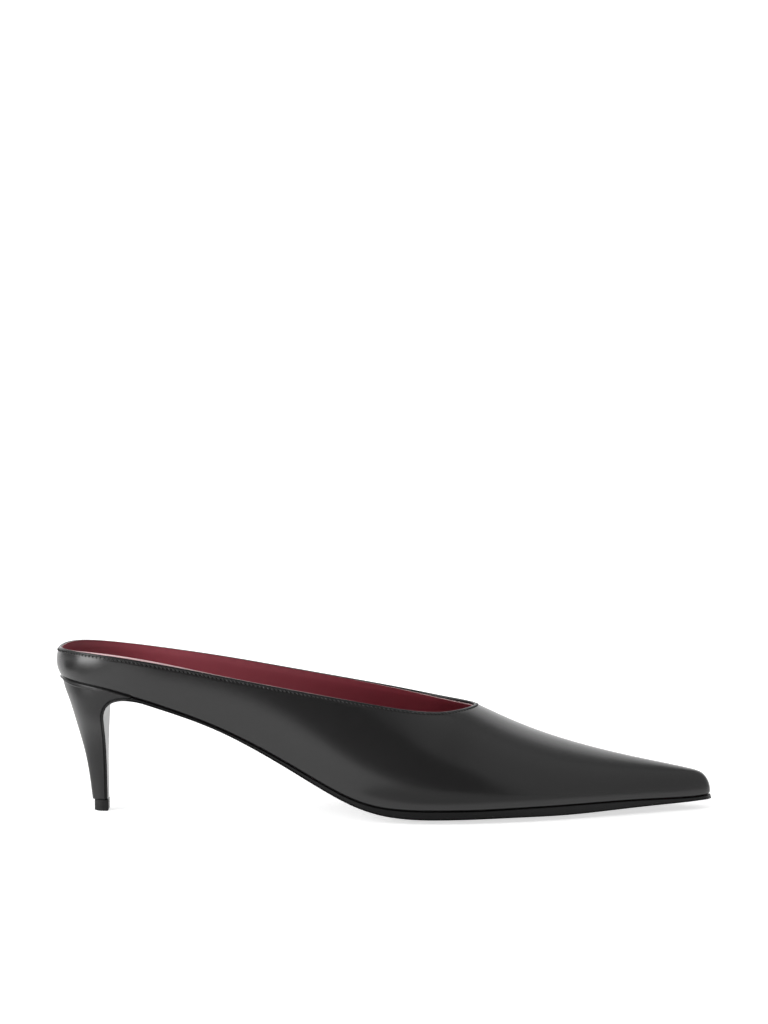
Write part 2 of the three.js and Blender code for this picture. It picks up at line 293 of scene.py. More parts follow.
def wall_mesh(outside, inside, open_top):
    """Joins the outside and the inside of a wall, columns of points from its lower edge up,
    into one shell. Its top edge is closed only where open_top says that the wall ends there,
    and elsewhere both sides of the shoe meet at the ridge. The last result is each face's
    place in its column."""
    loop = np.concatenate([outside, inside[:, ::-1]], axis=1)
    numbers = np.arange(loop.shape[0] * loop.shape[1]).reshape(loop.shape[:2])
    ahead = np.roll(numbers, -1, axis=0)
    faces = np.stack([numbers, ahead, np.roll(ahead, -1, 1), np.roll(numbers, -1, 1)], -1)
    top = np.zeros(faces.shape[:2], bool)
    top[:, outside.shape[1] - 1] = True
    keep = ~top | (open_top | np.roll(open_top, -1))[:, None]
    place = np.indices(top.shape)[1]
    return loop, faces[keep], place[keep]


DYE_DRIFT = 18.0  # millimetres over which the dye of a hide goes from light to deep
SWELL = 2.6  # size of the slow swell under the grain
SWELL_SHARE = 0.9  # its height, as a share of the grain's


def grained_leather(name, light, deep, roughness, grain, relief, gloss=0.5):
    """Dyed leather. Grain is the size of its pebbles and relief their height, both in
    millimetres. The dye drifts slowly from light to deep."""
    material = bpy.data.materials.new(name)
    material.use_nodes = True
    nodes, links = material.node_tree.nodes, material.node_tree.links
    shader = nodes["Principled BSDF"]
    shader.inputs["Roughness"].default_value = roughness
    shader.inputs["Specular IOR Level"].default_value = gloss
    place = nodes.new("ShaderNodeTexCoord")

    def noise(size_mm, detail, rough):
        """Soft blotches of this size over the piece."""
        node = nodes.new("ShaderNodeTexNoise")
        node.inputs["Scale"].default_value = 1 / (size_mm * MM)
        node.inputs["Detail"].default_value = detail
        node.inputs["Roughness"].default_value = rough
        links.new(place.outputs["Object"], node.inputs["Vector"])
        return node.outputs["Fac"]

    drift = noise(DYE_DRIFT, 3, 0.55)
    dye = nodes.new("ShaderNodeMix")
    dye.data_type = "RGBA"
    dye.inputs["A"].default_value = (*deep, 1)
    dye.inputs["B"].default_value = (*light, 1)
    links.new(drift, dye.inputs["Factor"])
    links.new(dye.outputs["Result"], shader.inputs["Base Color"])

    swell = nodes.new("ShaderNodeMath")
    swell.operation = "MULTIPLY_ADD"
    swell.inputs[1].default_value = SWELL_SHARE
    links.new(noise(SWELL, 3, 0.6), swell.inputs[0])
    links.new(noise(grain, 1, 0.5), swell.inputs[2])
    bump = nodes.new("ShaderNodeBump")
    bump.inputs["Strength"].default_value = 1.0
    bump.inputs["Distance"].default_value = relief * MM
    links.new(swell.outputs["Value"], bump.inputs["Height"])
    links.new(bump.outputs["Normal"], shader.inputs["Normal"])
    return material


LINING_KID = grained_leather("lining_kid", BURGUNDY, BURGUNDY_DEEP, 0.46, 0.45, 0.010, 0.35)
CUT_EDGE_DEEP = tuple(0.75 * c for c in CUT_EDGE_PINK)
LINING_EDGE = grained_leather("lining_cut_edge", CUT_EDGE_PINK, CUT_EDGE_DEEP, 0.7, 0.3, 0.03, 0.3)


def lining():
    """The lining's face and back, from the insole up to its cut edge. Its throat is the row
    at which the ridge comes down to the height of that edge. The skive is a bell curve down
    from the edge."""
    edge_height = TOPLINE["lateral"](THROAT) - LINING_DROP["lateral"](THROAT)
    throat = float(halved(np.float64(THROAT), np.float64(THROAT + 1),
                          lambda row: LAST["ridge"](row) > edge_height))
    rows, sides = wall_columns(throat)
    behind = np.minimum(rows, THROAT)
    drops = np.where(sides < 0, LINING_DROP["lateral"](behind), LINING_DROP["medial"](behind))
    top = np.where(rows >= throat, 1.0, topline_climb(rows, sides, drops))[:, None]
    face = 1 - (1 - steps(FACE_CUTS)) ** 1.4
    rows, sides = rows[:, None], sides[:, None]
    below = (1 - face) * top * (LAST["ridge"](rows) - LAST["feather"](rows))
    skived = np.where(sides < 0, EDGE_SKIVE, LINING_DROP["skive"](behind)[:, None])
    skived = skived * np.exp(-((below / SKIVE_DEPTH) ** 2))
    inside = last_point(rows, sides, top * face, LINING_FACE - skived)
    outside = last_point(rows, sides, top * face[::BACK_EVERY], LINING_BACK)
    points, faces, place = wall_mesh(outside, inside, (rows < throat)[:, 0])
    cut = (place >= outside.shape[1] - 2) & (place < outside.shape[1])
    return add_piece("lining_leather", points, faces, [LINING_KID, LINING_EDGE], cut.astype(int))


lining_piece = lining()
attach(lining_piece, "root")


# ---- Insole -----------------------------------------------------------------------------
# A stiff board under the foot, covered with a sock of the same burgundy kid. The sock is
# glued down and its edge is tucked against the lining. It swells a little over its padding.
INSOLE_THICKNESS = 2.5
SOCK_CROWN = 0.7  # how far the padding lifts the middle of the sock
SOCK_SIDE = 2.0  # how far inside the last's surface its edge lies
SOCK_ROLL = 0.7  # radius of its rolled edge
SOCK_SLOPE = 12.0  # how far in from the edge the crown is full
UNDERCUT = 0.2  # how much further in the board's lower edge lies
SOCK_CUTS = 20  # cuts to a row of the last
SOCK_ACROSS = 40  # steps across each, closer together towards the edges
BOARD_EVERY = 4  # the board's underside has one of them in so many


def plate_mesh(top, bottom):
    """Joins rows of points across a plate, its top and its bottom, into one closed mesh."""
    loop = np.concatenate([top, bottom[:, ::-1]], axis=1)
    count, around = loop.shape[:2]
    numbers = np.arange(count * around).reshape(count, around)
    here, ahead = numbers[:-1], numbers[1:]
    faces = [np.stack([here, ahead, np.roll(ahead, -1, 1), np.roll(here, -1, 1)], -1)]
    # Each end is closed by strips between the lower points and the upper ones over them.
    upper = np.round(steps(bottom.shape[1] - 1) * (top.shape[1] - 1)).astype(int)
    lower = around - 1 - np.arange(bottom.shape[1])
    for end, turned in ((0, False), (count - 1, True)):
        for i in range(len(lower) - 1):
            fan = np.arange(upper[i], upper[i + 1] + 1)
            strip = [(lower[i], fan[0], fan[1], lower[i + 1])]
            strip += [(lower[i + 1], a, b, b) for a, b in zip(fan[1:-1], fan[2:])]
            strip = numbers[end][np.array(strip)]
            faces.append((strip[:, ::-1] if turned else strip)[None])
    return loop, np.concatenate([f.reshape(-1, 4) for f in faces])


def insole():
    """Cuts across the shoe, from the lateral to the medial edge. The sock's height is that of
    the board plus a crown that is flat in the middle and falls along a quarter round at
    each edge."""
    rows = np.linspace(0, TOE, int(TOE * SOCK_CUTS) + 1)[:, None]
    bare = np.zeros(1)
    rise = 3 * LAST["belly"](rows) * (LAST["ridge"](rows) - LAST["feather"](rows))
    climb = (INSOLE_THICKNESS - SOCK_ROLL) / rise
    edges = {}
    for side in (-1, 1):
        edges[side] = (last_point(rows, side, bare, SOCK_SIDE + UNDERCUT)[:, 0],
                       last_point(rows, side, climb, SOCK_SIDE)[:, 0])
    across = (1 - np.cos(np.pi * steps(SOCK_ACROSS))) / 2
    left, right = edges[-1][1][:, None], edges[1][1][:, None]
    top = left + (right - left) * across[None, :, None]
    width = np.linalg.norm(right - left, axis=-1)
    from_edge = width * np.minimum(across, 1 - across)[None]
    roll = np.clip(from_edge / SOCK_ROLL, 0, 1)
    shape = np.sqrt(1 - (1 - roll) ** 2)
    crown = np.clip(from_edge / SOCK_SLOPE, 0, 1)
    top[..., 2] += SOCK_ROLL * shape + SOCK_CROWN * (3 * crown**2 - 2 * crown**3)
    left, right = edges[-1][0][:, None], edges[1][0][:, None]
    bottom = left + (right - left) * across[None, ::BOARD_EVERY, None]
    points, faces = plate_mesh(top, bottom)
    return add_piece("insole_sock", points, faces, [LINING_KID])


insole_piece = insole()
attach(insole_piece, "root")
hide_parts("insole")


# ---- Upper ------------------------------------------------------------------------------
# Smooth black box calf, cut in one piece and pulled over the last. Its lower edge rolls in
# under the foot to be glued between insole and sole. Under the topline it is drawn down into
# a shallow trough by the stitches.
BLACK = (0.0100, 0.0098, 0.0098)
BLACK_DEEP = (0.0075, 0.0073, 0.0075)
UPPER_CALF = grained_leather("upper_calf", BLACK, BLACK_DEEP, 0.26, 0.55, 0.006)
FEATHER_ROLL = 1.3  # height over which the lower edge rolls in
FEATHER_TUCK = 0.9  # how far it rolls in
TROUGH_AT = 1.25  # the stitches' distance from the topline
TROUGH_START = 2.1  # where the leather starts to go down to them
TROUGH_END = 0.5  # where it is furthest down, under the fold
TROUGH_DEPTH = 0.15  # at the stitches
TOPLINE_STEPS = 3000  # places at which each side's topline is measured
ROLL_CUTS = 8  # steps up the outside round the lower edge
SIDE_CUTS = 44  # and from there to the topline, closer together towards it
BACK_CUTS = 10  # steps up the back of the leather


def topline(count):
    """Points evenly along the topline, from the throat along the lateral side to the heel
    and back along the medial side, with three directions at each: along it, into the
    opening, and out of the leather, each square to the others. The last result is the
    topline's whole length."""
    s = steps(TOPLINE_STEPS)
    rows = np.concatenate([THROAT * (1 - s**2), THROAT * (1 - s[-2:0:-1] ** 2)])
    sides = np.where(np.arange(len(rows)) <= TOPLINE_STEPS, -1.0, 1.0)
    climb = topline_climb(rows, sides)
    place = last_point(rows, sides, climb)
    small = 1e-3
    ahead = last_point(rows + small, sides, climb) - last_point(rows - small, sides, climb)
    up = last_point(rows, sides, climb + small) - last_point(rows, sides, climb - small)
    out = np.cross(ahead, up) * -sides[:, None]
    ring = np.concatenate([place, place[:1]])
    lengths = np.concatenate([[0], np.cumsum(np.linalg.norm(np.diff(ring, axis=0), axis=1))])
    at = np.arange(count) / count * lengths[-1]

    def spread(values):
        """Values along the ring, taken at the even places."""
        values = np.concatenate([values, values[:1]])
        return np.stack([np.interp(at, lengths, values[:, i]) for i in range(3)], -1)

    def unit(vectors):
        """The vectors at length one."""
        return vectors / np.linalg.norm(vectors, axis=-1, keepdims=True)

    place, out = spread(place), unit(spread(unit(out)))
    along = unit(np.roll(place, -1, 0) - np.roll(place, 1, 0))
    opening = unit(np.cross(along, out))
    return place, along, opening, unit(np.cross(opening, along)), lengths[-1]


def nearest(points, line):
    """Distance from each point to the nearest point of a line, a thousand at a time."""
    flat = points.reshape(-1, 3)
    found = [
        np.sqrt(((flat[i:i + 1000, None] - line[None]) ** 2).sum(-1).min(1))
        for i in range(0, len(flat), 1000)
    ]
    return np.concatenate(found).reshape(points.shape[:-1])


def upper():
    """The outside follows the last, moved in by two curves: a quarter round at the lower
    edge, and a smooth step down into the stitch trough that goes on under the fold."""
    rows, sides = wall_columns(THROAT)
    top = np.where(rows >= THROAT, 1.0, topline_climb(rows, sides))[:, None]
    rows, sides = rows[:, None], sides[:, None]
    rise = 3 * LAST["belly"](rows) * (LAST["ridge"](rows) - LAST["feather"](rows))
    roll = FEATHER_ROLL / rise
    low = roll * steps(ROLL_CUTS)
    high = roll + (top - roll) * (1 - (1 - steps(SIDE_CUTS)[1:]) ** 1.5)
    climb = np.concatenate([low, high], axis=1)
    curl = np.clip(climb / roll, 0, 1)
    inset = FEATHER_TUCK * (1 - np.sqrt(1 - (1 - curl) ** 2))
    line = topline(1200)[0]
    away = nearest(last_point(rows, sides, climb), line)
    s = np.clip((TROUGH_START - away) / (TROUGH_START - TROUGH_END), 0, 1)
    inset = inset + 2 * TROUGH_DEPTH * s**2 * (3 - 2 * s)
    outside = last_point(rows, sides, climb, inset)
    inside = last_point(rows, sides, top * steps(BACK_CUTS), LEATHER)
    points, faces, _ = wall_mesh(outside, inside, (rows < THROAT)[:, 0])
    return add_piece("upper_leather", points, faces, [UPPER_CALF])


upper_piece = upper()
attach(upper_piece, "root")
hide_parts("upper")


# ---- Folded topline ---------------------------------------------------------------------
# The upper's top edge is skived thin, folded over to the inside and stitched down, so it is
# a soft, round edge. Between the needle holes the leather puckers up a little.
FOLD_CALF = grained_leather("fold_calf", BLACK, BLACK_DEEP, 0.36, 0.55, 0.008, 0.38)
STITCH_PITCH = 1.7
PUCKER = 0.14  # how far the fold is drawn in at a needle hole
PUCKER_AT = 0.2 - TROUGH_AT  # where across the fold it does so
PUCKER_SPAN = 0.3
CUTS_A_STITCH = 8
# The fold's section. up is towards the opening and out is out of the leather, both from the
# topline, starting in the stitch trough and going over the edge to the inside.
FOLD = table(
    "up out",
    [
        (-1.42, -0.50),
        (-1.17, -0.22),
        (-0.90, -0.02),
        (-0.58, 0.03),
        (-0.25, -0.07),
        (-0.05, -0.30),
        (0.00, -0.56),
        (-0.10, -0.84),
        (-0.42, -1.03),
        (-1.10, -1.08),
        (-2.60, -1.08),
    ],
    even_ends=False,
)
FOLD_BACK = np.array([(-2.4, -0.75), (-2.0, -0.7)])  # how it is closed inside the wall
stitch_count = int(round(topline(2400)[4] / STITCH_PITCH))


def topline_fold():
    """The fold's section carried round the topline, with its back closed. A cosine along
    the topline draws its outer face in at each needle hole."""
    place, _, opening, out, _ = topline(stitch_count * CUTS_A_STITCH)
    places = np.linspace(0, 10, 31)
    up, swell = FOLD["up"](places), FOLD["out"](places)
    up, swell = np.append(up, FOLD_BACK[:, 0]), np.append(swell, FOLD_BACK[:, 1])
    phase = np.arange(len(place)) / CUTS_A_STITCH
    dip = PUCKER * (0.5 + 0.5 * np.cos(2 * np.pi * phase))[:, None]
    reach = np.exp(-((up - PUCKER_AT) / PUCKER_SPAN) ** 2)[None]
    points = (place[:, None] + opening[:, None] * up[None, :, None]
              + out[:, None] * (swell[None] - dip * reach)[..., None])
    numbers = np.arange(len(place) * len(up)).reshape(len(place), len(up))
    ahead = np.roll(numbers, -1, 0)
    faces = np.stack([numbers, ahead, np.roll(ahead, -1, 1), np.roll(numbers, -1, 1)], -1)
    return add_piece("topline_fold", points, faces, [FOLD_CALF])


fold_piece = topline_fold()
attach(fold_piece, "root")


# ---- Topline stitches -------------------------------------------------------------------
# One row of black waxed thread, ten stitches to about 17 mm, pulled down into its trough. Each
# stitch lies askew, as a machine's lockstitch does.
THREAD_RADIUS = 0.25
STITCH_RISE = 0.05  # how far the middle of a stitch stands out
STITCH_SINK = 0.30  # how much lower its ends are
STITCH_LENGTH = 1.16
STITCH_LEAN = np.radians(38)
THREAD = bpy.data.materials.new("waxed_thread")
THREAD.use_nodes = True
thread_shader = THREAD.node_tree.nodes["Principled BSDF"]
thread_shader.inputs["Base Color"].default_value = (0.008, 0.008, 0.008, 1)
thread_shader.inputs["Roughness"].default_value = 0.33
thread_shader.inputs["Specular IOR Level"].default_value = 0.6
thread_twist = THREAD.node_tree.nodes.new("ShaderNodeTexWave")
thread_twist.inputs["Scale"].default_value = 900
thread_twist.inputs["Distortion"].default_value = 1.5
thread_bump = THREAD.node_tree.nodes.new("ShaderNodeBump")
thread_bump.inputs["Distance"].default_value = 0.03 * MM
thread_place = THREAD.node_tree.nodes.new("ShaderNodeTexCoord")
THREAD.node_tree.links.new(thread_place.outputs["Object"], thread_twist.inputs["Vector"])
THREAD.node_tree.links.new(thread_twist.outputs["Fac"], thread_bump.inputs["Height"])
THREAD.node_tree.links.new(thread_bump.outputs["Normal"], thread_shader.inputs["Normal"])


def stitches():
    """Each stitch is a round bar along its own line. Its radius follows a squashed circle
    from end to end, and its ends bend down into the leather along a parabola."""
    place, along, opening, out, _ = topline(stitch_count * 2)
    place, along, opening, out = (v[1::2, None, None] for v in (place, along, opening, out))
    line = along * np.cos(STITCH_LEAN) + opening * np.sin(STITCH_LEAN)
    across = opening * np.cos(STITCH_LEAN) - along * np.sin(STITCH_LEAN)
    u = (2 * steps(8) - 1)[None, :, None, None]
    angle = (2 * np.pi * np.arange(8) / 8)[None, None, :, None]
    radius = THREAD_RADIUS * np.sqrt(np.clip(1 - u**4, 0, 1))
    sink = STITCH_RISE - STITCH_SINK * u**2
    points = (place - opening * TROUGH_AT + line * u * STITCH_LENGTH / 2 + out * sink
              + radius * (across * np.cos(angle) + out * np.sin(angle)))
    count, rings, around = points.shape[:3]
    numbers = np.arange(count * rings * around).reshape(count, rings, around)
    here, ahead = numbers[:, :-1], numbers[:, 1:]
    faces = np.stack([here, np.roll(here, -1, 2), np.roll(ahead, -1, 2), ahead], -1)
    return add_piece("topline_stitches", points, faces, [THREAD])


stitch_piece = stitches()
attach(stitch_piece, "root")


# ---- Heel -------------------------------------------------------------------------------
# A moulded heel covered in the upper's leather. The cover is rolled over at the top, where it
# leaves a narrow bead that dies out towards the front, and its edges are drawn round to the
# front face, under the sole's flap.
FIT = 0.06  # left between glued pieces
GAP = 0.3  # from the lower edge of the upper to the top of the sole's and the heel's edges
HEEL_LEVELS = 8
LIP_X = 32.6  # the seat's front edge
SEAT_ROLL = 0.7  # radius of the cover's rolled upper edge
TIP_HEIGHT = 4.4
HEEL_CORNER = 0.45  # radius of the cover's front edges
SEAT_INSET = 2.3  # from the last's surface to where the seat is flat under the insole
# One row a level from the seat down to the tip. breast is the place of its front on the
# breast line, x and z are those of its back, and width is its half width.
HEEL = table(
    "breast x z width",
    [
        (0.3, 2.9, 55.2, 23.4),
        (0.55, 4.0, 50.8, 21.8),
        (0.8, 5.6, 46.5, 20.0),
        (1.0, 7.3, 41.0, 17.3),
        (1.17, 9.1, 34.5, 12.2),
        (1.35, 10.75, 28.5, 7.7),
        (1.55, 12.4, 21.5, 5.0),
        (1.78, 13.8, 12.9, 4.1),
        (2.0, 14.8, 4.7, 4.0),
    ],
    even_ends=False,
)
# The bead under the rolled edge and the groove below it: how far out each stands, how far down
# the cover it lies and half its width.
BEAD = (0.06, 0.8, 0.35)
GROOVE = (-0.26, 1.45, 0.22)
BEAD_END = 22.0  # x at which they have died out
BEAD_FADE = 10.0  # over how much of x they do so
HEEL_BLACK = (0.0105, 0.0102, 0.0105)
HEEL_BLACK_DEEP = (0.008, 0.0078, 0.008)
HEEL_CALF = grained_leather("heel_calf", HEEL_BLACK, HEEL_BLACK_DEEP, 0.33, 0.5, 0.010, 0.33)


def row_at(x):
    """The row whose lower edge is at x."""
    return float(halved(np.float64(0), np.float64(TOE),
                        lambda row: last_point(row, -1.0, 0.0)[..., 0] < x))


WAIST_END = 38.0  # x at which the sole leaves the upper's lower edge
waist_height = LAST["feather"](row_at(WAIST_END)) - GAP
BREAST_X = 19.8  # x of the heel's front, where it is upright
BREAST_TOP = np.array([BREAST_X, 40.0])
BREAST_FOOT = np.array([BREAST_X + 0.5, TIP_HEIGHT + GAP])
# The four points of the curve from the waist down to the upright front.
BEND = np.array([
    (WAIST_END, waist_height),
    (WAIST_END - 6.5, waist_height + 2),
    (BREAST_X + 0.2, BREAST_TOP[1] + 11),
    BREAST_TOP,
])


def breast(along):
    """The line along which the sole leaves the waist and runs down the front of the heel, as
    points (x, z) and the direction out of it. From 0 to 1 it is a cubic curve drawn by
    four points, and from 1 to 2 a straight line."""
    s = np.clip(along, 0, 1)[..., None]
    weights = [(1 - s) ** 3, 3 * (1 - s) ** 2 * s, 3 * (1 - s) * s**2, s**3]
    bent = sum(w * p for w, p in zip(weights, BEND))
    way = (3 * (1 - s) ** 2 * (BEND[1] - BEND[0]) + 6 * (1 - s) * s * (BEND[2] - BEND[1])
           + 3 * s**2 * (BEND[3] - BEND[2]))
    down = np.clip(along - 1, 0, 1)[..., None]
    straight = BREAST_FOOT - BREAST_TOP
    place = np.where(down > 0, BREAST_TOP + straight * down, bent)
    way = np.where(down > 0, straight, way)
    way = way / np.linalg.norm(way, axis=-1, keepdims=True)
    front = np.stack([-way[..., 1], np.zeros(way.shape[:-1]), way[..., 0]], -1)
    return place, front


def wave(down, shape):
    """A bell curve on the way down the cover: how far out, how far down, and half its width."""
    out, middle, spread = shape
    return out * np.exp(-((down - middle) / spread) ** 2)


def surface_normals(points):
    """Directions square to a grid of points, from the differences along both its ways."""
    normals = np.cross(np.gradient(points, axis=0), np.gradient(points, axis=1))
    return normals / np.maximum(np.linalg.norm(normals, axis=-1, keepdims=True), 1e-9)


def heel():
    """The outline of the seat, scaled down level by level. At each level its share of the way
    from the back to the front face is kept. The front corners and the rolled upper edge are
    quarter rounds, and the bead and its groove are bell curves on the way down."""
    lip = row_at(LIP_X)
    rows = lip * (1 - (1 - steps(64)) ** 1.7)
    edge = last_point(rows, -1.0, 0.0) - (0, 0, FIT)
    other = last_point(rows, 1.0, 0.0) - (0, 0, FIT)
    back, front = edge[0], edge[-1]
    share = (edge[:, 0] - back[0]) / (front[0] - back[0])
    bow = edge[:, 2] - (back[2] + (front[2] - back[2]) * share)

    level = HEEL_LEVELS * steps(120) ** 1.35
    place, way = breast(HEEL["breast"](level))
    foot = np.stack([place[:, 0], np.zeros(len(level)), place[:, 1]], -1) - way * FIT
    heel_back = np.stack([HEEL["x"](level), np.zeros(len(level)), HEEL["z"](level)], -1)
    spread = HEEL["width"](level) / abs(front[1])
    lines = {}
    for side, outline in ((-1, edge), (1, other)):
        line = heel_back[:, None] + (foot - heel_back)[:, None] * share[None, :, None]
        line[..., 1] = outline[None, :, 1] * spread[:, None]
        line[..., 2] += bow[None] * spread[:, None] ** 2
        line = np.concatenate([outline[None], line])
        # The bead and the rolled edge, along the way out of the cover.
        down = np.linalg.norm(np.diff(line, axis=0), axis=-1)
        down = np.concatenate([np.zeros((1, line.shape[1])), np.cumsum(down, axis=0)])
        fade = np.clip((BEAD_END - line[..., 0]) / BEAD_FADE, 0, 1)
        bead = (wave(down, BEAD) + wave(down, GROOVE)) * fade * (3 - 2 * fade) * fade
        rolled = np.clip(down / SEAT_ROLL, 0, 1)
        tuck = SEAT_ROLL * (1 - np.sqrt(1 - (1 - rolled) ** 2))
        line = line + surface_normals(line) * side * (bead - tuck)[..., None]
        # The front corner, along the width of the shoe.
        length = np.linalg.norm(line[:, -1] - line[:, 0], axis=-1)
        short = np.clip(HEEL_CORNER - length[:, None] * (1 - share)[None], 0, HEEL_CORNER)
        line[..., 1] -= side * (HEEL_CORNER - np.sqrt(HEEL_CORNER**2 - short**2))
        # The seat inside its rolled edge, close under the insole and short of the front face.
        seat = last_point(rows, side, 0.0, SEAT_INSET) - (0, 0, FIT / 2)
        held = np.minimum(seat[:, 0], front[0] - GAP)
        seat[:, 2] = np.interp(held, seat[:, 0], seat[:, 2])
        seat[:, 0] = held
        lines[side] = np.concatenate([seat[None], line])
    near_corner, far_corner = lines[-1][:, -1:], lines[1][:, -1:]
    face = near_corner + (far_corner - near_corner) * steps(10)[None, 1:-1, None]
    around = np.concatenate([lines[-1], face, lines[1][:, :0:-1]], axis=1)
    count, width = around.shape[:2]
    numbers = np.arange(count * width).reshape(count, width)
    here, below = numbers[:-1], numbers[1:]
    shell = np.stack([here, np.roll(here, -1, 1), np.roll(below, -1, 1), below], -1)
    faces = [shell.reshape(-1, 4)]
    # The seat and the foot of the heel are closed by strips across it.
    near, far = np.arange(len(share) + 4), (width - np.arange(len(share) + 4)) % width
    for ring, turned in ((numbers[0], False), (numbers[-1], True)):
        strip = np.stack([ring[near[:-1]], ring[far[:-1]], ring[far[1:]], ring[near[1:]]], -1)
        faces.append(strip[:, ::-1] if turned else strip)
    return add_piece("heel_cover", around, np.concatenate(faces), [HEEL_CALF])


heel_piece = heel()
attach(heel_piece, "root")
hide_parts("heel")


# ---- Sole -------------------------------------------------------------------------------
# One piece of black sole leather, thick under the tread and skived thin at the waist, glued on
# and carried down the front of the heel as a flap. Its edges are trimmed, inked and polished.
FLAP_THICKNESS = 1.05
LEAVING = 0.5  # place on the breast line by which the flap has its own width and thickness
EDGE_TOP = 0.22  # radius of the edge's upper corner
EDGE_FOOT = 0.55  # and the largest radius of its lower one
FOOT_SHARE = 0.45  # which is at most this share of the thickness
BEND_EASE = 5.0  # cuts over which the way down turns from the flap to the tread
# For each row of the last, how thick the edge is and how much lower the middle hangs.
SOLE = table("edge crown", [
    (1.0, 0.0),
    (1.0, 0.0),
    (1.0, 0.2),
    (1.0, 0.5),
    (0.9, 0.9),
    (1.6, 1.3),
    (2.1, 1.7),
    (2.9, 2.3),
    (3.1, 2.5),
    (3.0, 2.5),
    (3.2, 2.5),
    (3.4, 2.2),
    (2.8, 1.7),
    (1.8, 0.9),
    (1.3, 0.4),
    (1.5, 0.0),
])
INK = (0.007, 0.007, 0.0072)
INK_DEEP = (0.005, 0.005, 0.005)
SOLE_EDGE = grained_leather("sole_edge_ink", INK, INK_DEEP, 0.26, 0.9, 0.008, 0.18)
SOLE_BLACK = (0.016, 0.0155, 0.0155)
SOLE_BLACK_DEEP = (0.011, 0.011, 0.011)
SOLE_FACE = grained_leather("sole_leather_face", SOLE_BLACK, SOLE_BLACK_DEEP,
                            0.30, 0.35, 0.006, 0.42)


def breast_edge(side):
    """The sole's edge where the breast line begins, as wide as the heel's seat."""
    return np.array([BEND[0][0], side * HEEL["width"](0.0), BEND[0][1]])


